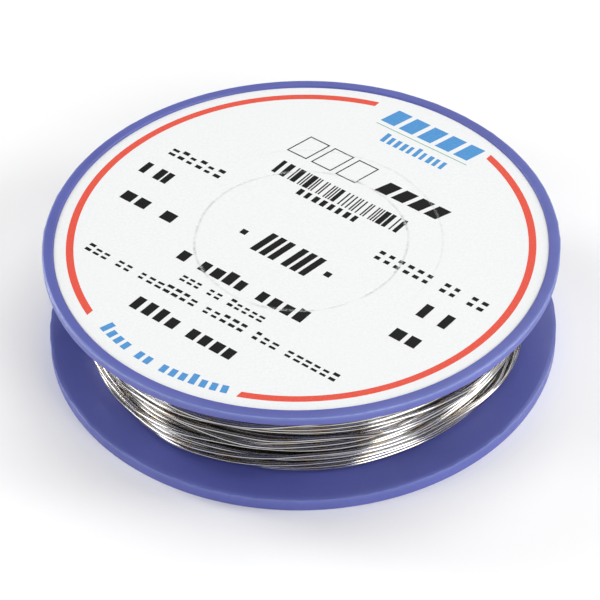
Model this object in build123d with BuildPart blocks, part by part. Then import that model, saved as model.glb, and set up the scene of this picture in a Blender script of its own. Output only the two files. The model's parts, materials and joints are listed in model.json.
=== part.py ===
"""A small reel of flux-cored solder wire.

Two blue mouldings, a paper label and one long wire. The frame's origin is the centre of the
reel's underside, and +Z runs along its axis, towards the label. All sizes are in millimetres.
"""

from build123d import *
import os
from math import asin, cos, degrees, pi, radians, sin

# Flanges
flange_radius = 32.5
overall_width = 15.6
lower_flange_thickness = 1.8
upper_flange_thickness = 1.4
rim_bevel_width = 0.4
rim_bevel_drop = 0.18
rim_edge_radius = 0.25

# Barrel and bore
bore_radius = 13.5
bore_tube_wall = 1.3
barrel_radius = 18.2
barrel_wall = 1.4
spigot_radius = 17.9
end_web_thickness = 1.5
bore_mouth_chamfer = 0.4
bore_end_chamfer = 0.25

# Ribs between the bore tube and the barrel
rib_count = 6
rib_thickness = 1.2
rib_setback = 0.8
rib_bite = 0.3

# Label
label_radius = 31.05
label_thickness = 0.1
label_sink = 0.24
label_edge_gap = 0.15

# Wire
wire_diameter = 0.5
flux_diameter = 0.2
winding_edge_radius = 27.4
winding_middle_radius = 27.7
wire_length = 70_000.0

# The wire's two ends
start_hole_diameter = 0.9
start_hole_gap = 0.1
start_hole_angle = 75.0
start_tail_bend = 1.0
start_tail_sweep = 24.0
free_end_lift = 0.02
free_end_angle = 62.0
free_end_sweep = 30.0
free_end_height = 10.05

wire_radius = wire_diameter / 2
lower_face = lower_flange_thickness
upper_face = overall_width - upper_flange_thickness
label_top = overall_width - label_sink
label_seat = label_top - label_thickness
pocket_inner_radius = bore_radius + bore_tube_wall
pocket_outer_radius = barrel_radius - barrel_wall
pocket_top = label_seat - end_web_thickness
pocket_middle_radius = (pocket_inner_radius + pocket_outer_radius) / 2


def make_spool_body():
    """Lower flange, barrel and bore tube in one moulding, cored from the underside."""
    with BuildPart() as body:
        with BuildSketch(Plane.XZ):
            with BuildLine():
                Polyline(
                    (bore_radius, bore_mouth_chamfer),
                    (bore_radius + bore_mouth_chamfer, 0),
                    (flange_radius - rim_edge_radius, 0),
                    (flange_radius, rim_edge_radius),
                    (flange_radius, lower_face - rim_bevel_drop),
                    (flange_radius - rim_bevel_width, lower_face),
                    (barrel_radius, lower_face),
                    (barrel_radius, upper_face),
                    (spigot_radius, upper_face),
                    (spigot_radius, label_seat),
                    (bore_radius + bore_end_chamfer, label_seat),
                    (bore_radius, label_seat - bore_end_chamfer),
                    close=True,
                )
            make_face()
        revolve(axis=Axis.Z)
        with BuildSketch(Plane.XY):
            Circle(pocket_outer_radius)
            Circle(pocket_inner_radius, mode=Mode.SUBTRACT)
        extrude(amount=pocket_top, mode=Mode.SUBTRACT)
        rib_length = pocket_outer_radius - pocket_inner_radius + 2 * rib_bite
        with BuildSketch(Plane.XY.offset(rib_setback)):
            with PolarLocations(pocket_middle_radius, rib_count):
                Rectangle(rib_length, rib_thickness)
        extrude(amount=pocket_top - rib_setback)
        hole_plane = start_tail_plane()
        with BuildSketch(hole_plane.offset(pocket_middle_radius)):
            Circle(start_hole_diameter / 2)
        extrude(amount=barrel_radius + wire_diameter - pocket_middle_radius, mode=Mode.SUBTRACT)
    return body


def start_tail_plane():
    """A plane on the axis, facing outwards along the hole that the wire starts in."""
    outwards = (cos(radians(start_hole_angle)), sin(radians(start_hole_angle)), 0)
    return Plane(
        origin=(0, 0, lower_face + start_hole_gap + start_hole_diameter / 2),
        x_dir=(-outwards[1], outwards[0], 0),
        z_dir=outwards,
    )


def make_upper_flange():
    """Flat ring pressed on the barrel's spigot, with a shallow seat for the label."""
    seat_radius = label_radius + label_edge_gap
    with BuildPart() as flange:
        with BuildSketch(Plane.XZ):
            with BuildLine():
                Polyline(
                    (spigot_radius, upper_face),
                    (flange_radius - rim_edge_radius, upper_face),
                    (flange_radius, upper_face + rim_edge_radius),
                    (flange_radius, overall_width - rim_edge_radius),
                    (flange_radius - rim_edge_radius, overall_width),
                    (seat_radius + label_sink, overall_width),
                    (seat_radius, label_top),
                    (seat_radius, label_seat),
                    (spigot_radius, label_seat),
                    close=True,
                )
            make_face()
        revolve(axis=Axis.Z)
    return flange


def make_paper_label():
    """Round paper label, stuck over the upper flange and the end of the bore."""
    with BuildPart() as label:
        with BuildSketch(Plane.XY.offset(label_seat)):
            Circle(label_radius)
        extrude(amount=label_thickness)
    return label


def make_solder_winding():
    """Outer shape of the whole winding, slightly crowned between the flanges."""
    middle = (lower_face + upper_face) / 2
    with BuildPart() as winding:
        with BuildSketch(Plane.XZ):
            with BuildLine():
                ThreePointArc(
                    (winding_edge_radius, lower_face),
                    (winding_middle_radius, middle),
                    (winding_edge_radius, upper_face),
                )
                Polyline(
                    (winding_edge_radius, upper_face),
                    (barrel_radius, upper_face),
                    (barrel_radius, lower_face),
                    (winding_edge_radius, lower_face),
                )
            make_face()
        revolve(axis=Axis.Z)
    return winding


def make_wire_start_tail():
    """Start of the wire, out of the winding, through the barrel and along the pocket."""
    plane = start_tail_plane()
    bend_centre_radius = pocket_middle_radius + start_tail_bend
    bend_angle = degrees(asin(start_tail_bend / bend_centre_radius))
    knee_radius = bend_centre_radius * cos(radians(bend_angle))

    def at(radius, angle):
        return (radius * cos(radians(angle)), radius * sin(radians(angle)), plane.origin.Z)

    bend_end = start_hole_angle + bend_angle
    with BuildPart() as tail:
        with BuildLine():
            inward = Line(at(barrel_radius, start_hole_angle), at(knee_radius, start_hole_angle))
            bend = TangentArc(inward @ 1, at(pocket_middle_radius, bend_end), tangent=inward % 1)
            last = at(pocket_middle_radius, bend_end + start_tail_sweep)
            TangentArc(bend @ 1, last, tangent=bend % 1)
        with BuildSketch(Plane(origin=inward @ 0, z_dir=inward % 0)):
            Circle(wire_radius)
        sweep()
    return tail


def free_end_path():
    """Arc of the wire's last stretch, which lies on the winding."""
    radius = winding_middle_radius + wire_radius + free_end_lift
    return CenterArc((0, 0, free_end_height), radius, free_end_angle, free_end_sweep)


def make_wire_free_end():
    """Last stretch of the wire, cut square, with its flux core open at the end."""
    with BuildPart() as tail:
        with BuildLine():
            path = free_end_path()
        with BuildSketch(Plane(origin=path @ 0, z_dir=path % 0)):
            Circle(wire_radius)
            Circle(flux_diameter / 2, mode=Mode.SUBTRACT)
        sweep()
    return tail


def make_flux_core():
    """Flux that fills the last stretch of the wire."""
    with BuildPart() as core:
        with BuildLine():
            path = free_end_path()
        with BuildSketch(Plane(origin=path @ 0, z_dir=path % 0)):
            Circle(flux_diameter / 2)
        sweep()
    return core


PIECES = {
    "spool_body": make_spool_body,
    "upper_flange": make_upper_flange,
    "paper_label": make_paper_label,
    "solder_winding": make_solder_winding,
    "wire_start_tail": make_wire_start_tail,
    "wire_free_end": make_wire_free_end,
    "flux_core": make_flux_core,
}

os.makedirs("parts", exist_ok=True)
volumes = {}
for name, make in PIECES.items():
    piece = make()
    piece.part.label = name
    export_step(piece.part, f"parts/{name}.step")
    volumes[name] = piece.part.volume
    print(f"{name}: {volumes[name]:.1f} mm3")

wire_volume = wire_length * pi * wire_radius**2
print(f"wire fills {wire_volume / volumes['solder_winding']:.2f} of the winding's outer shape")
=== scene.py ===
"""Looks for a small reel of flux-cored solder wire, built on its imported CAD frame.

Lengths are in metres and angles in radians, unless a comment says otherwise.
"""

import json
import math

import bmesh
import bpy
import numpy as np
from mathutils import Euler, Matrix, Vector


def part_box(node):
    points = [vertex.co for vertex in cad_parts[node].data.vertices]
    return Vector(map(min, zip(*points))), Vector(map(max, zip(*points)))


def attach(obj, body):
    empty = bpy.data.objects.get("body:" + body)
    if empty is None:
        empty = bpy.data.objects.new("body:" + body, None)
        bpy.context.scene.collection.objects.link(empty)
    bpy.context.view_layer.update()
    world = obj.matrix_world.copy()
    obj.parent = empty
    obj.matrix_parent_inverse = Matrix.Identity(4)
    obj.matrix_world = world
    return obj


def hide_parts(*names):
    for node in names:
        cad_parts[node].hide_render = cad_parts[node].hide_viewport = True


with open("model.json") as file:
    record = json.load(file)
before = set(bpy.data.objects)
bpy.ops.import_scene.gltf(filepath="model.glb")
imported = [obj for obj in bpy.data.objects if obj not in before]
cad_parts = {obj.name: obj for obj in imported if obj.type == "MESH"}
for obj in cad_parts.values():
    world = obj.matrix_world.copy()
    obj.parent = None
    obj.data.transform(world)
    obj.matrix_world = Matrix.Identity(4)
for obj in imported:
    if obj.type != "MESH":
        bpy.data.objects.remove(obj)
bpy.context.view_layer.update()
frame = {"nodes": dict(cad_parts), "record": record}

MM = 0.001
TAU = 2 * math.pi


# ---------------------------------------------------------------- sizes from the frame


def inner_radius(node):
    """Smallest distance of a CAD node's vertices from the reel's axis."""
    vertices = frame["nodes"][node].data.vertices
    return min(math.hypot(v.co.x, v.co.y) for v in vertices)


def mount(name):
    """The part's mount of that name."""
    return next(m for m in frame["record"]["mounts"] if m["name"] == name)


_, body_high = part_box("spool_body")
ring_low, ring_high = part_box("upper_flange")
_, label_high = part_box("paper_label")
winding_low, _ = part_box("solder_winding")

flange_radius = ring_high.x
reel_top = ring_high.z
upper_face = ring_low.z
lower_face = winding_low.z
label_radius = label_high.x
label_top = label_high.z
label_seat = body_high.z
spigot_radius = inner_radius("upper_flange")
barrel_radius = inner_radius("solder_winding")
bore_radius = mount("spindle_bore")["dims"]["r_mm"] * MM

# The reel's inside and the hole for the wire's start, as in the CAD source
bore_tube_wall = 1.3 * MM
barrel_wall = 1.4 * MM
end_web = 1.5 * MM
rib_count = 6
rib_thickness = 1.2 * MM
rib_setback = 0.8 * MM
start_hole_radius = 0.45 * MM
start_hole_gap = 0.1 * MM
start_hole_angle = math.radians(75)
start_height = lower_face + start_hole_gap + start_hole_radius

# The wire and its free end
wire_radius = 0.25 * MM
free_end_angle = math.radians(62)
free_end_low, free_end_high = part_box("wire_free_end")
free_end_height = (free_end_low.z + free_end_high.z) / 2
free_end_radius = inner_radius("wire_free_end") + wire_radius


# ---------------------------------------------------------------- meshes


# Steps round the reel in its mouldings and its label, and steps in a rounded corner
ROUND_STEPS = 720
ARC_STEPS = 6

# Angles in degrees above which an edge is shaded crisply
PLASTIC_CRISP = 35
LABEL_CRISP = 60
INK_CRISP = 40
WIRE_CRISP = 60


def make_object(name, points, faces, material):
    """A smooth-shaded mesh object."""
    mesh = bpy.data.meshes.new(name)
    mesh.from_pydata(np.asarray(points).reshape(-1, 3).tolist(), [], faces)
    mesh.materials.append(material)
    mesh.shade_smooth()
    piece = bpy.data.objects.new(name, mesh)
    bpy.context.scene.collection.objects.link(piece)
    return piece


def keep_crisp(piece, degrees):
    """Shades a piece's edges crisply where they are sharper than that."""
    piece.data.set_sharp_from_angle(angle=math.radians(degrees))


def face_outwards(piece):
    """Turns a closed mesh's faces to look outwards."""
    work = bmesh.new()
    work.from_mesh(piece.data)
    bmesh.ops.recalc_face_normals(work, faces=work.faces)
    work.to_mesh(piece.data)
    work.free()


def full_turn(steps):
    """Evenly spaced angles round a circle."""
    return np.arange(steps) / steps * TAU


def prism_faces(sides, start=0):
    """Faces of a closed prism between two loops of points, of which the second follows on."""
    far = start + sides
    walls = [(start + k, start + (k + 1) % sides, far + (k + 1) % sides, far + k)
             for k in range(sides)]
    return walls + [tuple(range(start, far)), tuple(range(far, far + sides))]


def grid_faces(columns, rows, wrap_rows):
    """Quads of a grid of points whose last column joins its first, and its rows if asked."""
    ends = rows if wrap_rows else rows - 1
    return [
        (c * rows + r, (c + 1) % columns * rows + r,
         (c + 1) % columns * rows + (r + 1) % rows, c * rows + (r + 1) % rows)
        for c in range(columns)
        for r in range(ends)
    ]


def rounded(corners):
    """Outline of (radius, height) points from corners given as (radius, height, fillet)."""
    points = []
    for i, (r, z, fillet) in enumerate(corners):
        here = Vector((r, z))
        before = (Vector(corners[i - 1][:2]) - here).normalized()
        after = (Vector(corners[(i + 1) % len(corners)][:2]) - here).normalized()
        if not fillet:
            points.append(here)
            continue
        half = before.angle(after) / 2
        reach = fillet / math.tan(half)
        centre = here + (before + after).normalized() * fillet / math.sin(half)
        first, last = here + before * reach - centre, here + after * reach - centre
        for step in range(ARC_STEPS + 1):
            spoke = first.lerp(last, step / ARC_STEPS).normalized() * fillet
            points.append(centre + spoke)
    return np.array([tuple(p) for p in points])


def split_long(outline, longest):
    """The closed outline with points added so that no edge is longer than that."""
    points = []
    for here, there in zip(outline, np.roll(outline, -1, axis=0)):
        parts = max(1, math.ceil(np.linalg.norm(there - here) / longest))
        points += [here + (there - here) * k / parts for k in range(parts)]
    return np.array(points)


def nearest_row(outline, corner):
    """Which point of an outline lies nearest to a corner."""
    return int(np.argmin(np.hypot(*(outline - corner[:2]).T)))


def lathe(name, outline, material, shape):
    """Closed ring turned from an outline, with its points moved by shape."""
    rows = len(outline)
    turn = np.repeat(full_turn(ROUND_STEPS)[:, None], rows, axis=1)
    radius, height = shape(np.tile(outline[:, 0], (ROUND_STEPS, 1)), turn,
                           np.tile(outline[:, 1], (ROUND_STEPS, 1)))
    points = np.stack([radius * np.cos(turn), radius * np.sin(turn), height], -1)
    piece = make_object(name, points, grid_faces(ROUND_STEPS, rows, True), material)
    face_outwards(piece)
    keep_crisp(piece, PLASTIC_CRISP)
    return piece


def ripple(angle, seed, lowest, highest):
    """Smooth noise round a circle, about -1 to 1, from that range of waves per turn."""
    rng = np.random.default_rng(seed)
    total = np.zeros_like(angle)
    waves = range(lowest, highest + 1)
    for wave in waves:
        total += rng.normal() * np.sin(wave * angle + rng.uniform(0, TAU))
    return total / math.sqrt(len(waves))


# ---------------------------------------------------------------- materials


class Shader:
    """A material with one Principled shader, and short calls for the nodes that feed it."""

    def __init__(self, name, **values):
        self.material = bpy.data.materials.new(name)
        self.material.use_nodes = True
        self.tree = self.material.node_tree
        self.main = self.tree.nodes["Principled BSDF"]
        for socket, value in values.items():
            title = socket.replace("_", " ").title().replace("Ior", "IOR")
            self.main.inputs[title].default_value = value
        self.place = self.node("ShaderNodeTexCoord").outputs["Object"]

    def node(self, kind, **settings):
        """A new node with those settings."""
        made = self.tree.nodes.new(kind)
        for key, value in settings.items():
            setattr(made, key, value)
        return made

    def link(self, out, socket):
        """Joins an output to any node's input."""
        self.tree.links.new(out, socket)

    def feed(self, out, socket_name):
        """Joins an output to one of the Principled shader's own inputs."""
        self.link(out, self.main.inputs[socket_name])

    def noise(self, size, detail=3.0, roughness=0.55, stretch=(1, 1, 1), vector=None):
        """Noise whose features are about that size in metres."""
        scaled = self.node("ShaderNodeVectorMath", operation="MULTIPLY")
        self.link(vector or self.place, scaled.inputs[0])
        scaled.inputs[1].default_value = [1 / size / s for s in stretch]
        made = self.node("ShaderNodeTexNoise")
        self.link(scaled.outputs[0], made.inputs["Vector"])
        made.inputs["Scale"].default_value = 1.0
        made.inputs["Detail"].default_value = detail
        made.inputs["Roughness"].default_value = roughness
        return made.outputs["Fac"]

    def ramp(self, value, low, high, to_low=0.0, to_high=1.0):
        """Maps a value smoothly from one range to another, and holds it at the ends."""
        made = self.node("ShaderNodeMapRange", interpolation_type="SMOOTHSTEP")
        self.link(value, made.inputs["Value"])
        for socket, number in zip(("From Min", "From Max", "To Min", "To Max"),
                                  (low, high, to_low, to_high)):
            made.inputs[socket].default_value = number
        return made.outputs["Result"]

    def mix(self, share, first, second):
        """Mixes two colours, each an output or a tuple."""
        made = self.node("ShaderNodeMix", data_type="RGBA")
        self.link(share, made.inputs["Factor"])
        for socket, colour in zip((made.inputs[6], made.inputs[7]), (first, second)):
            if isinstance(colour, tuple):
                socket.default_value = (*colour, 1)
            else:
                self.link(colour, socket)
        return made.outputs[2]

    def maths(self, operation, first, second):
        """Works out one operation on two values, each an output or a number."""
        made = self.node("ShaderNodeMath", operation=operation)
        for socket, value in zip(made.inputs, (first, second)):
            if isinstance(value, (int, float)):
                socket.default_value = value
            else:
                self.link(value, socket)
        return made.outputs[0]

    def attribute(self, name):
        """A number that the mesh has at its points."""
        return self.node("ShaderNodeAttribute", attribute_name=name).outputs["Fac"]

    def bump(self, height, strength, distance, below=None):
        """Normal of a relief, on top of another one if that is given."""
        made = self.node("ShaderNodeBump")
        made.inputs["Strength"].default_value = strength
        made.inputs["Distance"].default_value = distance
        self.link(height, made.inputs["Height"])
        if below:
            self.link(below, made.inputs["Normal"])
        return made.outputs["Normal"]


def blue_plastic():
    """Satin moulded polystyrene, with faint flow, handling scuffs, and a parting line and rim
    corners whitened partly by wear and partly by a painted highlight and edge glow.
    """
    deep, pale = (0.080, 0.094, 0.345), (0.092, 0.107, 0.378)
    dusty, whitened_and_lit_blue = (0.15, 0.17, 0.47), (0.30, 0.38, 0.66)
    s = Shader("blue_plastic", roughness=0.42, ior=1.5, specular_ior_level=0.5)
    flow = s.noise(14 * MM, detail=2.0, stretch=(1, 1, 0.5))
    cloud = s.noise(1.3 * MM, detail=4.0)
    colour = s.mix(s.ramp(flow, 0.35, 0.65), deep, pale)
    speck = s.ramp(s.noise(0.12 * MM, detail=1.0), 0.62, 0.80)
    colour = s.mix(s.maths("MULTIPLY", speck, 0.20), colour, dusty)
    # Whitening at the parting line and rim corners: partly stress whitening, partly painted
    # highlight and edge glow
    wear_and_glow = s.attribute("wear_and_glow")
    colour = s.mix(s.maths("MULTIPLY", wear_and_glow, 0.85), colour, whitened_and_lit_blue)
    s.feed(colour, "Base Color")
    scuff = s.ramp(s.noise(0.35 * MM, detail=5.0, stretch=(5, 1, 1)), 0.55, 0.78)
    rough = s.maths("ADD", s.ramp(cloud, 0.3, 0.7, 0.36, 0.48), s.maths("MULTIPLY", scuff, 0.14))
    s.feed(rough, "Roughness")
    peel = s.bump(s.noise(0.5 * MM, detail=2.0), 0.10, 0.02 * MM)
    grain = s.bump(s.noise(0.07 * MM, detail=2.0), 0.12, 0.006 * MM, peel)
    s.feed(grain, "Normal")
    return s.material


def label_paper():
    """White coated label paper, with fibres, faint mottling, a few handling marks, and dirt with
    painted shade along its creases.
    """
    grey_white, white = (0.785, 0.795, 0.800), (0.840, 0.845, 0.845)
    warm_white, smudge, crease_dirt_and_shade = (0.81, 0.815, 0.805), (0.66, 0.67, 0.68), (0.36, 0.355, 0.345)
    s = Shader("label_paper", roughness=0.6, ior=1.45, specular_ior_level=0.35)
    mottle = s.ramp(s.noise(0.35 * MM, detail=4.0, roughness=0.7), 0.3, 0.7)
    colour = s.mix(mottle, grey_white, white)
    cast = s.ramp(s.noise(17 * MM, detail=2.0), 0.35, 0.7)
    colour = s.mix(s.maths("MULTIPLY", cast, 0.35), colour, warm_white)
    mark = s.ramp(s.noise(0.9 * MM, detail=6.0, roughness=0.65, stretch=(3, 1, 1)), 0.70, 0.80)
    colour = s.mix(s.maths("MULTIPLY", mark, 0.35), colour, smudge)
    broken = s.ramp(s.noise(0.5 * MM, detail=4.0), 0.30, 0.65, 0.10, 0.60)
    # Darker along the creases: partly dirt, partly painted shade
    colour = s.mix(s.maths("MULTIPLY", s.attribute("crease"), broken), colour, crease_dirt_and_shade)
    s.feed(colour, "Base Color")
    s.feed(s.ramp(mottle, 0, 1, 0.52, 0.68), "Roughness")
    fibre = s.bump(s.noise(0.16 * MM, detail=4.0, stretch=(2.5, 1, 1)), 0.25, 0.012 * MM)
    s.feed(fibre, "Normal")
    return s.material


def print_ink(name, dense, thin):
    """Matt ink on paper: thinner in patches, and cracked where the paper is creased."""
    bare_paper = (0.70, 0.70, 0.70)
    s = Shader(name, roughness=0.55, ior=1.45, specular_ior_level=0.2)
    soak = s.ramp(s.noise(0.22 * MM, detail=4.0, roughness=0.7), 0.40, 0.72)
    colour = s.mix(s.maths("MULTIPLY", soak, 0.55), dense, thin)
    cracked = s.ramp(s.noise(0.14 * MM, detail=3.0), 0.42, 0.60)
    colour = s.mix(s.maths("MULTIPLY", s.attribute("crease"), cracked), colour, bare_paper)
    s.feed(colour, "Base Color")
    s.feed(s.ramp(soak, 0, 1, 0.50, 0.66), "Roughness")
    s.feed(s.bump(s.noise(0.16 * MM, detail=3.0), 0.2, 0.01 * MM), "Normal")
    return s.material


def solder():
    """Bright drawn tin-lead wire, with draw lines, dull patches and a trace of flux film."""
    dull, bright, flux_film = (0.50, 0.49, 0.475), (0.70, 0.69, 0.67), (0.62, 0.48, 0.30)
    s = Shader("solder", metallic=1.0, roughness=0.3)
    along = s.node("ShaderNodeUVMap", uv_map="wire").outputs["UV"]
    tone = s.ramp(s.noise(9 * MM, detail=4.0, vector=along), 0.3, 0.7)
    colour = s.mix(tone, dull, bright)
    film = s.ramp(s.noise(2.4 * MM, detail=3.0), 0.45, 0.70)
    colour = s.mix(s.maths("MULTIPLY", film, 0.45), colour, flux_film)
    s.feed(colour, "Base Color")
    draw = s.noise(0.12 * MM, detail=4.0, stretch=(60, 1, 1), vector=along)
    rough = s.maths("ADD", s.ramp(tone, 0, 1, 0.16, 0.10), s.ramp(draw, 0.4, 0.7, 0.0, 0.05))
    s.feed(rough, "Roughness")
    s.feed(s.bump(draw, 0.06, 0.008 * MM), "Normal")
    return s.material


def flux_resin():
    """Amber flux resin, as it shows at the wire's cut end."""
    brown, amber = (0.50, 0.25, 0.05), (0.68, 0.42, 0.12)
    s = Shader("flux_resin", roughness=0.3, ior=1.53)
    tint = s.ramp(s.noise(0.06 * MM, detail=3.0), 0.35, 0.65)
    s.feed(s.mix(tint, brown, amber), "Base Color")
    s.feed(s.ramp(tint, 0, 1, 0.22, 0.4), "Roughness")
    s.feed(s.bump(tint, 0.3, 0.01 * MM), "Normal")
    return s.material


def pale_floor():
    """Nearly white floor, very slightly uneven in tone."""
    grey, pale = (0.95, 0.95, 0.95), (0.97, 0.97, 0.97)
    s = Shader("pale_floor", roughness=0.7)
    tint = s.ramp(s.noise(0.25, detail=2.0), 0.3, 0.7)
    s.feed(s.mix(tint, grey, pale), "Base Color")
    return s.material


# ---------------------------------------------------------------- camera, floor and lights


def add_camera():
    """Looks down on the label from the front, with a slight tilt and roll."""
    elevation = math.radians(40.6)
    tilt, roll = math.radians(1.17), math.radians(1.30)
    distance = 11.65 * label_radius
    target = Vector((0, 0, label_top))
    arm = Vector((0, -math.cos(elevation), math.sin(elevation)))
    data = bpy.data.cameras.new("camera")
    data.sensor_width = 36
    data.lens = 172.8
    data.shift_x, data.shift_y = -0.0037, -0.0038
    camera = bpy.data.objects.new("camera", data)
    look = (-arm).to_track_quat("-Z", "Y").to_matrix()
    aim = Euler((-tilt, 0, 0)).to_matrix() @ Euler((0, 0, -roll)).to_matrix()
    camera.matrix_world = (look @ aim).to_4x4()
    camera.location = target + arm * distance
    bpy.context.scene.collection.objects.link(camera)
    bpy.context.scene.camera = camera


def add_floor(material):
    """A wide square floor that the reel lies on."""
    half = 1.5
    corners = [(-half, -half, 0), (half, -half, 0), (half, half, 0), (-half, half, 0)]
    make_object("floor", corners, [(0, 1, 2, 3)], material)


def add_softbox(name, azimuth, elevation, distance, width, height, radiance, mirrored=True):
    """Area light facing the reel from that direction, in degrees, seen or not in reflections."""
    a, e = math.radians(azimuth), math.radians(elevation)
    data = bpy.data.lights.new(name, "AREA")
    data.shape = "RECTANGLE"
    data.size, data.size_y = width, height
    data.energy = radiance * math.pi * width * height
    lamp = bpy.data.objects.new(name, data)
    arm = Vector((math.cos(e) * math.cos(a), math.cos(e) * math.sin(a), math.sin(e)))
    lamp.rotation_euler = (-arm).to_track_quat("-Z", "Y").to_euler()
    lamp.location = arm * distance
    lamp.visible_glossy = mirrored
    bpy.context.scene.collection.objects.link(lamp)


def add_lights():
    """A softbox above and behind, two upright ones on each side, and a weak fill in front."""
    add_softbox("top_light", azimuth=55, elevation=60, distance=1.0,
                width=0.9, height=0.9, radiance=2.2)
    add_softbox("front_fill", azimuth=-95, elevation=30, distance=1.2,
                width=1.0, height=0.8, radiance=1.6, mirrored=False)
    for name, azimuth, width, radiance in (
        ("right_front_light", -49, 0.28, 5.9),
        ("right_side_light", -5, 0.23, 6.6),
        ("left_front_light", -165, 0.25, 4.7),
        ("left_side_light", 150, 0.25, 8.0),
    ):
        add_softbox(name, azimuth, elevation=20, distance=0.8,
                    width=width, height=0.6, radiance=radiance)
    world = bpy.data.worlds.new("studio")
    world.use_nodes = True
    sky = world.node_tree.nodes["Background"]
    sky.inputs["Color"].default_value = (0.96, 0.98, 1.0, 1)
    sky.inputs["Strength"].default_value = 0.06
    bpy.context.scene.world = world
    bpy.context.scene.view_settings.view_transform = "Standard"


# ---------------------------------------------------------------- plastic mouldings


# Most distance between two points of a moulding's outline
OUTLINE_STEP = 1.2 * MM


def add_wear_and_glow(piece, outline, fin, amount, reach, seed):
    """Marks the parting line, and the corner round it more softly, for the material to whiten: worn
    whitening with a painted glint on the line, and a painted edge glow at the corner.
    """
    # The corner's gradient is painted edge glow with a little wear; the line's mark is partly wear,
    # partly a painted glint
    corner_wear_and_glow, line_wear_and_glint = 0.42, 0.5
    distance = np.hypot(*(outline - outline[fin]).T)
    values = np.tile(corner_wear_and_glow * np.exp(-distance / reach), (ROUND_STEPS, 1))
    patchy = 0.7 + 0.4 * ripple(full_turn(ROUND_STEPS), seed, 20, 160)
    values[:, fin] += line_wear_and_glint * np.clip(patchy, 0.2, 1)
    wear_and_glow = piece.data.attributes.new("wear_and_glow", "FLOAT", "POINT")
    wear_and_glow.data.foreach_set("value", (amount * values).astype(np.float32).ravel())


def flange_wave(radius, angle, seed):
    """How far a thin flange is off flat: not at all at the barrel, and most at the rim."""
    most = 0.035 * MM
    lean = np.clip((radius - spigot_radius) / (flange_radius - spigot_radius), 0, 1)
    return most * lean**2 * ripple(angle, seed, 2, 3)


def parting_line(radius, angle, height, row, seed):
    """Raises one row of an outline into the thin, uneven fin that a mould's joint leaves."""
    mean, unevenness, drift = 0.04 * MM, 0.03 * MM, 0.025 * MM
    least, most = 0.004 * MM, 0.1 * MM
    fin = mean + unevenness * ripple(angle[:, row], seed, 5, 90)
    radius[:, row] += np.clip(fin, least, most)
    height[:, row] += drift * ripple(angle[:, row], seed + 1, 3, 50)


def make_upper_flange(material):
    """The ring that carries the label, with its parting line on the outer top corner.

    The close rows beside the parting line keep its wear and painted glow near the corner.
    """
    seat = label_radius + 0.03 * MM
    edge = 0.24 * MM
    parting = (flange_radius - 0.05 * MM, reel_top - 0.8 * edge, 0)
    corners = [
        (spigot_radius, upper_face, 0),
        (flange_radius, upper_face, edge),
        (flange_radius, reel_top - 0.65 * MM, 0),
        (flange_radius, reel_top - edge, 0),
        parting,
        (flange_radius - 0.09 * MM, reel_top - 0.5 * edge, 0),
        (flange_radius - edge, reel_top, 0.1 * MM),
        (flange_radius - 0.5 * MM, reel_top, 0),
        (flange_radius - 0.8 * MM, reel_top, 0),
        (seat + 0.12 * MM, reel_top, 0.08 * MM),
        (seat, label_top - 0.02 * MM, 0),
        (seat, label_seat, 0),
        (spigot_radius, label_seat, 0),
    ]
    outline = split_long(rounded(corners), OUTLINE_STEP)
    fin = nearest_row(outline, parting)

    def shape(radius, angle, height):
        height += flange_wave(radius, angle, seed=4)
        parting_line(radius, angle, height, fin, seed=11)
        return radius, height

    ring = lathe("upper_flange_ring", outline, material, shape)
    add_wear_and_glow(ring, outline, fin, amount=1.0, reach=0.2 * MM, seed=13)
    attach(ring, "root")
    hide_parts("upper_flange")


def boolean(piece, tool, operation):
    """Joins a closed tool to a piece or cuts it away, and leaves a plain mesh."""
    face_outwards(tool)
    step = piece.modifiers.new("boolean", "BOOLEAN")
    step.object = tool
    step.operation = operation
    step.solver = "EXACT"
    graph = bpy.context.evaluated_depsgraph_get()
    done = bpy.data.meshes.new_from_object(
        piece.evaluated_get(graph), preserve_all_data_layers=True, depsgraph=graph)
    piece.modifiers.clear()
    piece.data = done
    bpy.data.objects.remove(tool)


def rib_tool(material, inner, outer, top):
    """The ribs between the bore tube and the barrel, tapered towards their open edges."""
    bite, tip, draft = 0.3 * MM, 0.15 * MM, 0.1 * MM
    half = rib_thickness / 2
    section = [(-half - draft, top + bite), (-half, rib_setback + tip), (-half + tip, rib_setback),
               (half - tip, rib_setback), (half, rib_setback + tip), (half + draft, top + bite)]
    points, faces = [], []
    for rib in range(rib_count):
        a = rib * TAU / rib_count
        faces += prism_faces(len(section), start=len(points))
        for r in (inner - bite, outer + bite):
            points += [(r * math.cos(a) - t * math.sin(a), r * math.sin(a) + t * math.cos(a), z)
                       for t, z in section]
    return make_object("ribs", points, faces, material)


def start_hole_tool(material, inner, outer):
    """A round pin along the hole that the wire starts in."""
    sides = 32
    turn = full_turn(sides)
    sideways = start_hole_radius * np.cos(turn)
    height = start_height + start_hole_radius * np.sin(turn)
    out_x, out_y = math.cos(start_hole_angle), math.sin(start_hole_angle)
    loops = [np.stack([r * out_x - sideways * out_y, r * out_y + sideways * out_x, height], -1)
             for r in (inner, outer)]
    return make_object("start_hole", loops, prism_faces(sides), material)


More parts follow.
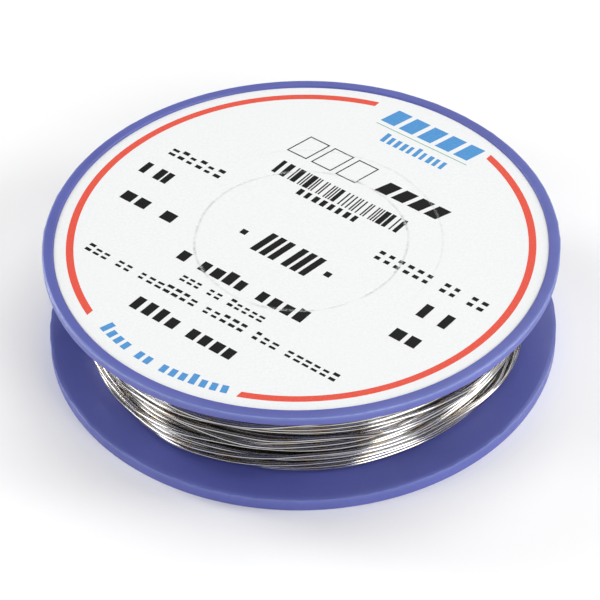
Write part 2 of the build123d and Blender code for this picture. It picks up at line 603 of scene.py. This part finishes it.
def make_spool_body(material):
    """Lower flange, barrel and bore tube, with the parting line on the flange's upper corner.

    The close rows beside the parting line keep its wear and painted glow near the corner.
    """
    pocket_inner, pocket_outer = bore_radius + bore_tube_wall, barrel_radius - barrel_wall
    pocket_top = label_seat - end_web
    parting = (flange_radius - 0.03 * MM, lower_face - 0.08 * MM, 0)
    corners = [
        (bore_radius, 0, 0.35 * MM),
        (pocket_inner, 0, 0.15 * MM),
        (pocket_inner, pocket_top, 0.25 * MM),
        (pocket_outer, pocket_top, 0.25 * MM),
        (pocket_outer, 0, 0.2 * MM),
        (flange_radius, 0, 0.12 * MM),
        (flange_radius, lower_face - 0.7 * MM, 0),
        (flange_radius, lower_face - 0.15 * MM, 0),
        parting,
        (flange_radius - 0.11 * MM, lower_face - 0.03 * MM, 0),
        (flange_radius - 0.45 * MM, lower_face, 0.8 * MM),
        (flange_radius - 0.80 * MM, lower_face, 0),
        (flange_radius - 1.30 * MM, lower_face, 0),
        (barrel_radius, lower_face, 0),
        (barrel_radius, upper_face, 0),
        (spigot_radius, upper_face, 0),
        (spigot_radius, label_seat, 0),
        (bore_radius, label_seat, 0.25 * MM),
    ]
    outline = split_long(rounded(corners), OUTLINE_STEP)
    fin = nearest_row(outline, parting)

    def shape(radius, angle, height):
        on_flange = (height < lower_face + 0.1 * MM) & (height > 0.5 * MM)
        height += np.where(on_flange, flange_wave(radius, angle, seed=8), 0)
        parting_line(radius, angle, height, fin, seed=21)
        return radius, height

    body = lathe("lower_flange_and_hub", outline, material, shape)
    add_wear_and_glow(body, outline, fin, amount=0.45, reach=0.4 * MM, seed=23)
    boolean(body, rib_tool(material, pocket_inner, pocket_outer, pocket_top), "UNION")
    boolean(body, start_hole_tool(material, pocket_inner + MM, barrel_radius + MM), "DIFFERENCE")
    keep_crisp(body, PLASTIC_CRISP)
    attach(body, "root")
    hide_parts("spool_body")


# ---------------------------------------------------------------- label and its print


# Radii at which the paper is creased, by the bore's edge and by the hub's seam
BORE_CREASE = bore_radius - 0.1 * MM
SEAM_CREASE = spigot_radius - 0.1 * MM
CREASES = (BORE_CREASE, SEAM_CREASE)


def soft_ring(distance, width):
    """1 on a ring and falling off smoothly within that width of it."""
    return np.exp(-(distance / width) ** 2)


def pressed(x, y):
    """How much the bore's edge and the hub's seam are pressed into the paper, from 0 to 1.

    The bore's edge shows most at the right and the left, and the seam on one side only.
    """
    bore_width, seam_width, wander = 0.17 * MM, 0.14 * MM, 0.08 * MM
    seam_angle = math.radians(35)
    radius, angle = np.hypot(x, y), np.arctan2(y, x)
    bore = BORE_CREASE + wander * ripple(angle, 31, 1, 9)
    deep_sides = 0.42 + 0.40 * np.cos(angle) ** 2 + 0.28 * ripple(angle, 32, 2, 30)
    edge = np.clip(deep_sides, 0.08, 1) * soft_ring(radius - bore, bore_width)
    near_seam = np.clip(1.2 * np.cos(angle - seam_angle) - 0.1, 0, 1)
    seam = near_seam * soft_ring(radius - SEAM_CREASE, seam_width)
    return edge, seam


def paper_height(x, y):
    """Height of the label's upper side, which dips where it is pressed in and over the bore."""
    bore_depth, seam_depth, sag_depth = 0.085 * MM, 0.03 * MM, 0.04 * MM
    wave_height, rim_width, rim_drop = 0.012 * MM, 0.1 * MM, 0.03 * MM
    x, y = np.asarray(x, float), np.asarray(y, float)
    radius = np.hypot(x, y)
    edge, seam = pressed(x, y)
    dip = bore_depth * edge + seam_depth * seam
    sag = sag_depth * np.clip(1 - (radius / bore_radius) ** 2, 0, 1) ** 0.5
    wave = wave_height * np.sin(x / (6 * MM) + 1) * np.cos(y / (5 * MM) + 2)
    turned_down = rim_drop * np.clip((radius - label_radius + rim_width) / rim_width, 0, 1) ** 2
    return label_top - dip - sag + wave - turned_down


def add_crease(piece):
    """Marks a mesh on or over the paper where the paper is creased, for the paper to darken with
    dirt and painted shade, and the ink to crack.
    """
    spots = np.zeros(3 * len(piece.data.vertices), np.float32)
    piece.data.vertices.foreach_get("co", spots)
    x, y, _ = spots.reshape(-1, 3).T
    edge, seam = pressed(x, y)
    crease = piece.data.attributes.new("crease", "FLOAT", "POINT")
    crease.data.foreach_set("value", np.maximum(edge, 0.4 * seam).astype(np.float32))


def make_label(material):
    """The label as a thin closed disc, with close rings of points where it creases."""
    steps, fine_rings, fine_step, plain_step = ROUND_STEPS, 12, 0.035 * MM, 0.6 * MM
    fine = [c + k * fine_step for c in CREASES for k in range(-fine_rings, fine_rings + 1)]
    plain = np.arange(0.5 * MM, label_radius - 0.3 * MM, plain_step)
    clear = (fine_rings + 0.5) * fine_step
    away = [r for r in plain if all(abs(r - c) > clear for c in CREASES)]
    rim = [label_radius - 0.15 * MM, label_radius - 0.05 * MM, label_radius]
    radii = np.array(sorted(away + fine + rim))
    angle = full_turn(steps)
    x = radii[None] * np.cos(angle)[:, None]
    y = radii[None] * np.sin(angle)[:, None]
    top = np.stack([x, y, paper_height(x, y)], -1)
    bottom = np.stack([x[:, -1], y[:, -1], np.full(steps, label_seat)], -1)
    sheet = np.concatenate([top, bottom[:, None]], axis=1)
    rows = sheet.shape[1]
    faces = grid_faces(steps, rows, False)
    centre = steps * rows
    faces += [(centre, (c + 1) % steps * rows, c * rows) for c in range(steps)]
    faces += [(centre + 1, c * rows + rows - 1, (c + 1) % steps * rows + rows - 1)
              for c in range(steps)]
    points = np.concatenate([
        sheet.reshape(-1, 3),
        [(0, 0, float(paper_height(0, 0))), (0, 0, label_seat)],
    ])
    label = make_object("round_label", points, faces, material)
    face_outwards(label)
    keep_crisp(label, LABEL_CRISP)
    add_crease(label)
    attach(label, "root")
    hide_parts("paper_label")


# The print reads down to the right: its rows are turned by this much from the reel's X axis
PRINT_TURN = math.radians(-39.5)

# How far each slab of ink reaches above the paper, and as far below it
INK_TOP = 0.012 * MM

# A slab's cells in millimetres, on flat paper, on a crease and along a ring
PLAIN_CELL, CREASE_CELL, RING_CELL = 0.5, 0.06, 0.4

# Rows of marks: the gap between two groups as a share of the pitch, and how many marks are tall
GROUP_GAP = 0.8
TALL_SHARE = 0.3


class Print:
    """Patches of one ink. Each is a thin closed slab that follows the paper."""

    def __init__(self):
        self.points, self.faces = [], []

    def patch(self, place, across, along):
        """Adds the slab that place(u, v) maps the unit square to, in the label's own frame."""
        u, v = np.meshgrid(
            np.linspace(0, 1, across + 1), np.linspace(0, 1, along + 1), indexing="ij")
        px, py = place(u, v)
        x = px * math.cos(PRINT_TURN) - py * math.sin(PRINT_TURN)
        y = px * math.sin(PRINT_TURN) + py * math.cos(PRINT_TURN)
        z = paper_height(x, y)
        start = len(self.points)
        rows = along + 1
        count = (across + 1) * rows
        for lift in (INK_TOP, -INK_TOP):
            self.points += np.stack([x, y, z + lift], -1).reshape(-1, 3).tolist()
        for i in range(across):
            for j in range(along):
                a, b = start + i * rows + j, start + (i + 1) * rows + j
                self.faces.append((a, b, b + 1, a + 1))
                self.faces.append((a + count, a + count + 1, b + count + 1, b + count))
        edge = [(i, 0) for i in range(across)] + [(across, j) for j in range(along)]
        edge += [(i, along) for i in range(across, 0, -1)] + [(0, j) for j in range(along, 0, -1)]
        for (i, j), (k, m) in zip(edge, edge[1:] + edge[:1]):
            a, b = start + i * rows + j, start + k * rows + m
            self.faces.append((a, a + count, b + count, b))

    def block(self, x0, x1, y0, y1, slant=0.0):
        """A plain upright or slanted block, sizes in millimetres, finely divided on a crease."""
        reach = math.hypot(x1 - x0, y1 - y0) / 2 + 0.5
        middle = math.hypot((x0 + x1) / 2, (y0 + y1) / 2)
        on_crease = any(abs(middle - radius / MM) < reach for radius in CREASES)
        cell = CREASE_CELL if on_crease else PLAIN_CELL

        def place(u, v):
            y = y0 + (y1 - y0) * v
            return (x0 + (x1 - x0) * u + slant * (y - y0)) * MM, y * MM

        self.patch(place, math.ceil((x1 - x0) / cell), math.ceil((y1 - y0) / cell))

    def band(self, r0, r1, first, last):
        """Part of a ring, sizes in millimetres. Each end's angle is a function of the radius."""

        def place(u, v):
            r = r0 + (r1 - r0) * v
            a = first(r) + (last(r) - first(r)) * u
            return r * MM * np.cos(a), r * MM * np.sin(a)

        self.patch(place, math.ceil(abs(last(r0) - first(r0)) * r1 / RING_CELL), 2)

    def outline(self, x0, x1, y0, y1, line, slant=0.0):
        """A slanted block's outline of that line width, sizes in millimetres."""
        turns = [0, 1, 2, 3, 4]
        parts = 80

        def place(u, v):
            inset = line * v
            x = np.interp(4 * u, turns, [0, 1, 1, 0, 0]) * (x1 - x0 - 2 * inset) + x0 + inset
            y = np.interp(4 * u, turns, [0, 0, 1, 1, 0]) * (y1 - y0 - 2 * inset) + y0 + inset
            return (x + slant * (y - y0)) * MM, y * MM

        self.patch(place, parts, 1)

    def row(self, rng, x0, x1, base, height, groups, fill=0.72, tall=1.3, strokes=1):
        """A row of plain marks between two ends. groups gives how many are in each group.

        Each mark fills that share of its pitch, some are taller by that factor, and each is a
        block or that many strokes above each other.
        """
        slots = sum(groups) + GROUP_GAP * (len(groups) - 1)
        pitch = (x1 - x0) / slots
        x = x0
        for count in groups:
            for _ in range(count):
                width = pitch * fill * rng.uniform(0.85, 1.15)
                full = height * (tall if rng.random() < TALL_SHARE else 1)
                stroke = full / (2 * strokes - 1)
                for k in range(strokes):
                    low = base + 2 * k * stroke
                    self.block(x, x + width, low, low + stroke)
                x += pitch
            x += GROUP_GAP * pitch

    def finish(self, name, material):
        """Makes the patches one mesh of that ink."""
        ink = make_object(name, self.points, self.faces, material)
        keep_crisp(ink, INK_CRISP)
        face_outwards(ink)
        add_crease(ink)
        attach(ink, "root")


def print_black(material):
    """Rows of plain marks, in millimetres, and a plain pattern of bars."""
    rng = np.random.default_rng(5)
    ink = Print()
    light = dict(fill=0.62, tall=1.3, strokes=2)

    # Each row's two ends, its base line, the height of its marks, and its groups
    ink.row(rng, -24.4, -15.4, 2.8, 1.35, (6,), **light)
    ink.row(rng, -25.2, -20.3, -2.2, 2.2, (1, 2), tall=1.0)
    ink.row(rng, -23.6, -14.6, -7.7, 1.7, (2, 1), tall=1.0)
    ink.row(rng, -6.2, 3.8, 6.6, 1.2, (8,), fill=0.55, tall=1.0)
    ink.row(rng, -10.2, 10.2, -12.3, 1.75, (1, 4, 4))
    ink.row(rng, -7.2, 6.2, -15.2, 1.05, (3, 2, 5), **light)
    ink.row(rng, -20.4, 19.8, -18.0, 1.1, (3, 2, 7, 5, 3, 6), **light)
    ink.row(rng, -8.9, 7.6, -22.7, 1.75, (4, 4))
    ink.row(rng, 9.4, 26.6, 2.7, 1.75, (6, 2, 2), fill=0.55, tall=1.0, strokes=2)
    ink.row(rng, 19.9, 24.9, -2.6, 2.5, (1, 1), fill=0.62, tall=1.0)
    ink.row(rng, 19.6, 24.2, -7.6, 1.8, (2,))

    # Two groups of slanted bars with a square on each side, three open boxes and four blocks
    for group in (-4.0, 0.9):
        for k in range(3):
            x = group + 1.4 * k
            ink.block(x, x + 0.95, -5.3, -1.2, slant=0.12)
    for x in (-7.0, 6.4):
        ink.block(x, x + 0.9, -3.7, -2.8)
    for x in (-12.6, -8.6, -4.6):
        ink.outline(x, x + 3.2, 12.8, 16.9, 0.17, slant=0.2)
    for k in range(4):
        x = 1.4 + 2.6 * k
        ink.block(x, x + 1.9, 13.3, 15.7, slant=0.35)
    print_bars(ink, rng, -11.5, 8.7, 8.2, 10.9)
    ink.finish("print_black", material)


def print_bars(ink, rng, x0, x1, y0, y1):
    """Upright bars of random widths, in millimetres, that encode nothing."""
    unit = 0.2
    x = x0
    while x < x1:
        width = unit * rng.choice((1, 1, 3, 4))
        ink.block(x, min(x + width, x1), y0, y1)
        x += width + unit * rng.choice((1, 2, 3))


def print_red(material):
    """The ring round the label, cut off square to the rows at the top and foot of the print."""
    ink = Print()
    inner, outer = 28.55, 29.50
    top_half, foot_half = 9.1, 11.8
    ink.band(inner, outer, lambda r: -math.pi / 2 + np.arcsin(foot_half / r),
             lambda r: math.pi / 2 - np.arcsin(top_half / r))
    ink.band(inner, outer, lambda r: math.pi / 2 + np.arcsin(top_half / r),
             lambda r: 1.5 * math.pi - np.arcsin(foot_half / r))
    ink.finish("print_red", material)


def print_blue(material):
    """Plain blue bars at the top of the print, and small blocks round its foot."""
    rng = np.random.default_rng(9)
    ink = Print()
    for k in range(5):
        x = -6.7 + 2.95 * k
        ink.block(x, x + 2.2, 25.2, 28.3, slant=0.25)
    ink.row(rng, -4.2, 6.2, 21.7, 1.5, (10,), fill=0.55, tall=1.25)
    outer, low, tall, fill = 29.3, 1.3, 1.4, 0.62
    angle, step = math.radians(-108.0), math.radians(2.75)
    for blocks in (4, 2, 7):
        for _ in range(blocks):
            height = low * (tall if rng.random() < TALL_SHARE else 1)
            ink.band(outer - height, outer, lambda r: angle, lambda r: angle + fill * step)
            angle += step
        angle += step * GROUP_GAP
    ink.finish("print_blue", material)


def print_green(material):
    """Thin rule under the blue bars."""
    ink = Print()
    ink.block(-6.8, 7.8, 24.40, 24.52)
    ink.finish("print_green", material)


# ---------------------------------------------------------------- wire

# How the wire was wound. Lengths in this section are in millimetres until wire_piece.

# Steps per turn, all turns, the last ones, which were wound loosely, and the ones before them,
# which are pressed less and less
STEPS = 240
TURNS = 491 + (free_end_angle - start_hole_angle) / TAU
LOOSE_TURNS = 70
HALF_PRESSED_TURNS = 20

# The guide's sweeps between the flanges, and its height over the lower one at the end
SWEEPS = 22
GUIDE_END = 7.8

# How far the wire strays from the guide, in the tight turns and in the loose ones
TIGHT_STRAY, LOOSE_STRAY = 0.025, 0.26
STRAY_SEED = 71

# The wire's diameter, as it shows and as the turns above press it
WIRE = round(2 * wire_radius / MM, 3)
PRESSED_WIRE = 0.89 * WIRE

# Share of its unevenness that a turn keeps when it has bedded in, buried or near the top
BURIED_SHARE, LOOSE_SHARE = 0.85, 0.93

# How far a turn slides at most to find a hollow, and the height of the surface's cells
SLIDE = 0.7
CELL = 0.025

# The space that the wire's centre has between the flanges and over the barrel
FLOOR = round(lower_face / MM, 3)
BARREL = round(barrel_radius / MM, 3)
LOWEST = FLOOR + WIRE / 2
HIGHEST = round(upper_face / MM, 3) - WIRE / 2

# How much prouder the finished lay stands at the lower flange: all round, and most on one side
FOOT_SWELL, SIDE_SWELL = 0.5, 0.3
SIDE_ANGLE = math.radians(-105)
SWELL_HEIGHT = 5.0
SWELL_RADIUS = 27.0

# Steps in which the wire leaves the lay for its free end
END_STEPS = 40

# Steps over which the wire is smoothed: where it slides sideways, where it joins the turn
# before, for the mean level of its turn, and in the finished lay
SLIDE_SMOOTH, JOIN_SMOOTH, LEVEL_SMOOTH, FINAL_SMOOTH = 7, 16, 60, 2

# Share of its diameter that the wire is drawn at, so that touching turns stay just apart
DRAWN_SHARE = 0.99


def guide_height(steps):
    """Height of the winding guide at each step, to and fro between the flanges."""
    span = HIGHEST - LOWEST
    first = round(start_height / MM, 3) - LOWEST
    last = SWEEPS * span + (FLOOR + GUIDE_END - LOWEST)
    way = first + (last - first) * np.arange(steps) / (steps - 1)
    return LOWEST + span - np.abs(way % (2 * span) - span)


def wander(steps, rng):
    """How the wire strays from its guide: a few slow waves per turn, alike from turn to turn."""
    turns_alike = 1.7
    turn = np.arange(steps) / STEPS
    knots = np.arange(0, TURNS + 4, turns_alike)
    total = np.zeros(steps)
    for wave, gain in ((1, 1.0), (2, 0.6), (3, 0.5), (4, 0.3)):
        for trig in (np.cos, np.sin):
            swell = np.interp(turn, knots, rng.normal(size=knots.size))
            total += gain * swell * trig(wave * TAU * turn)
    return total


def blur(values, width):
    """Values smoothed by a bell curve of that width in steps."""
    kernel = np.exp(-0.5 * (np.arange(-3 * width, 3 * width + 1) / width) ** 2)
    padded = np.pad(values, 3 * width, mode="edge")
    return np.convolve(padded, kernel / kernel.sum(), mode="valid")


def pull_tight(rest, laid):
    """Radius of a taut wire over its supports: straight across every dip between them."""
    passes = 24
    radius = rest.copy()
    for _ in range(passes):
        for reach in (1, 3, 7):
            chord = math.cos(reach * TAU / STEPS) * (radius[2 * reach:] + radius[:-2 * reach]) / 2
            radius[reach:-reach] = np.maximum(radius[reach:-reach], chord)
        radius[:laid] = rest[:laid]
    return radius


def settled_height(surface, column, wanted):
    """The wire slides from where the guide puts it into the deepest place close by."""
    reach = int(SLIDE / CELL)
    offsets = np.arange(-reach, reach + 1)
    row = np.clip(np.rint((wanted - LOWEST) / CELL).astype(int), 0, surface.shape[1] - 1)
    near = np.clip(row[:, None] + offsets, 0, surface.shape[1] - 1)
    effort = surface[column[:, None], near] + (offsets * CELL) ** 2
    found = near[np.arange(len(row)), effort.argmin(1)]
    return wanted + blur((found - row) * CELL, SLIDE_SMOOTH)


def resting_radius(surface, column, height):
    """Smallest radius that the wire's centre can have at each place."""
    place = np.clip((height - LOWEST) / CELL, 0, surface.shape[1] - 1.001)
    below = place.astype(int)
    share = place - below
    return surface[column, below] * (1 - share) + surface[column, below + 1] * share


def cover(surface, column, radius, height, contact):
    """Raises the surface that later turns rest on by a turn that has just been laid."""
    rows = surface.shape[1]
    laid_row = np.rint((height - LOWEST) / CELL).astype(int)
    for offset in range(-int(WIRE / CELL), int(WIRE / CELL) + 1):
        rise = contact**2 - (offset * CELL) ** 2
        if rise <= 0:
            continue
        row = laid_row + offset
        inside = (row >= 0) & (row < rows)
        spot = column[inside], row[inside]
        surface[spot] = np.maximum(surface[spot], radius[inside] + math.sqrt(rise))


def foot_swell(angle, radius, height):
    """How much prouder than it was laid the wire stands, growing from the barrel outwards."""
    most = FOOT_SWELL + SIDE_SWELL * np.clip(np.cos(angle - SIDE_ANGLE), 0, 1) ** 3
    depth = (radius - BARREL) / (SWELL_RADIUS - BARREL)
    return most * depth * np.exp(-((height - LOWEST) / SWELL_HEIGHT) ** 2)


def end_share(steps):
    """How far each step has left the lay for the free end's place, smoothly from 0 to 1."""
    share = np.clip(1 - (steps - 1 - np.arange(steps)) / END_STEPS, 0, 1)
    return share * share * (3 - 2 * share)


def wind_wire():
    """Angle, radius and height along the wire's centre line, laid turn after turn.

    surface holds, for each step of the turn and each height, the smallest radius at which the
    next wire's centre can lie. Soft wire beds into the turns below it, more where it is buried.
    Each turn is rounded, so that the last bits of a sum can't grow from turn to turn.
    """
    rng = np.random.default_rng(STRAY_SEED)
    steps = round(TURNS * STEPS) + 1
    turn = np.arange(steps) / STEPS
    loose = TURNS - LOOSE_TURNS
    stray = np.interp(turn, (loose, loose + LOOSE_TURNS / 2, TURNS - 0.5, TURNS),
                      (TIGHT_STRAY, LOOSE_STRAY, LOOSE_STRAY, 0))
    contact = np.interp(turn, (loose - HALF_PRESSED_TURNS, loose), (PRESSED_WIRE, WIRE))
    wanted = guide_height(steps) + stray * wander(steps, rng)
    wanted = LOWEST + np.abs(wanted - LOWEST)
    wanted = HIGHEST - np.abs(HIGHEST - wanted)
    surface = np.full((STEPS, int((HIGHEST - LOWEST) / CELL) + 1), BARREL + WIRE / 2)
    radius, height = np.zeros(steps), np.zeros(steps)
    overlap = STEPS // 5
    for begin in range(0, steps, STEPS):
        end = min(begin + STEPS, steps)
        first = max(begin - overlap, 0)
        index = np.arange(first, min(end + overlap, steps))
        column = index % STEPS
        laid = begin - first
        path = settled_height(surface, column, wanted[index])
        if laid:
            gap = height[begin - 1] - path[laid]
            path += gap * np.exp(-np.abs(np.arange(len(index)) - laid) / JOIN_SMOOTH)
            path[:laid] = height[first:begin]
        path = np.clip(path, LOWEST, HIGHEST).round(6)
        rest = resting_radius(surface, column, path)
        rest[:laid] = radius[first:begin]
        tight = pull_tight(rest, laid)
        fresh = tight[laid:]
        if begin:
            last_turn = radius[begin - STEPS:begin]
            level = blur(np.concatenate([last_turn, fresh]), LEVEL_SMOOTH)[-len(fresh):]
        else:
            level = fresh.mean()
        share = BURIED_SHARE if begin < loose * STEPS else LOOSE_SHARE
        fresh = np.minimum(fresh, level + (fresh - level) * share).round(6)
        kept = slice(laid, laid + end - begin)
        radius[begin:end], height[begin:end] = fresh[:end - begin], path[kept]
        cover(surface, column[kept], radius[begin:end], height[begin:end], contact[begin])
    angle = start_hole_angle + TAU * turn
    radius += foot_swell(angle, radius, height)
    radius, height = blur(radius, FINAL_SMOOTH), blur(height, FINAL_SMOOTH)
    lifted = end_share(steps)
    radius += (free_end_radius / MM - radius) * lifted
    height += (free_end_height / MM - height) * lifted
    return angle, radius, height


def wire_piece(name, angle, radius, height, sides, material):
    """A stretch of wire as a closed tube, with a UV map in metres along and round it."""
    turn = full_turn(sides)
    radius, height = radius * MM, height * MM
    drawn = DRAWN_SHARE * wire_radius
    out = radius[:, None] + drawn * np.cos(turn)
    up = height[:, None] + drawn * np.sin(turn)
    points = np.stack([out * np.cos(angle)[:, None], out * np.sin(angle)[:, None], up], -1)
    last = (len(angle) - 1) * sides
    faces = [
        (i + k, i + sides + k, i + sides + (k + 1) % sides, i + (k + 1) % sides)
        for i in range(0, last, sides)
        for k in range(sides)
    ]
    faces += [tuple(range(sides)), tuple(last + k for k in range(sides - 1, -1, -1))]
    wire = make_object(name, points, faces, material)
    keep_crisp(wire, WIRE_CRISP)
    along = np.concatenate([[0], np.cumsum(radius[1:] * np.diff(angle))])
    layer = wire.data.uv_layers.new(name="wire")
    corner = np.zeros(len(wire.data.loops), np.int32)
    wire.data.loops.foreach_get("vertex_index", corner)
    around = (corner % sides) / sides * TAU * wire_radius
    layer.data.foreach_set("uv", np.stack([along[corner // sides], around], -1).ravel())
    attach(wire, "root")
    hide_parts("solder_winding")


def make_wire(material):
    """The whole length of wire: coarse where later turns bury it, fine where it shows.

    Each stretch has its first and last turn, the steps between its points, and its sides.
    """
    angle, radius, height = wind_wire()
    length = float(np.sum(np.hypot(radius[1:] * np.diff(angle), np.diff(height))))
    print(f"wire wound: {length / 1000:.2f} m, outermost centre line {radius.max():.2f} mm")
    for name, first, last, stride, sides in (
        ("wire_turns_inner", 0, 215, 4, 6),
        ("wire_turns_middle", 215, 424, 4, 6),
        ("wire_turns_outer", 424, 459, 1, 10),
        ("wire_turns_last", 459, TURNS, 1, 10),
    ):
        index = np.arange(round(first * STEPS), round(last * STEPS) + 1, stride)
        wire_piece(name, angle[index], radius[index], height[index], sides, material)


# ---------------------------------------------------------------- building


add_camera()
add_lights()
add_floor(pale_floor())

plastic = blue_plastic()
make_upper_flange(plastic)
make_spool_body(plastic)
make_label(label_paper())
print_black(print_ink("black_ink", (0.005, 0.005, 0.006), (0.018, 0.018, 0.018)))
print_red(print_ink("red_ink", (0.73, 0.080, 0.050), (0.81, 0.17, 0.12)))
print_blue(print_ink("blue_ink", (0.070, 0.27, 0.585), (0.16, 0.40, 0.70)))
print_green(print_ink("green_ink", (0.16, 0.40, 0.28), (0.35, 0.60, 0.48)))

wire_metal = solder()
make_wire(wire_metal)
for node, finish in (("wire_start_tail", wire_metal), ("wire_free_end", wire_metal),
                     ("flux_core", flux_resin())):
    for slot in frame["nodes"][node].material_slots:
        slot.material = finish
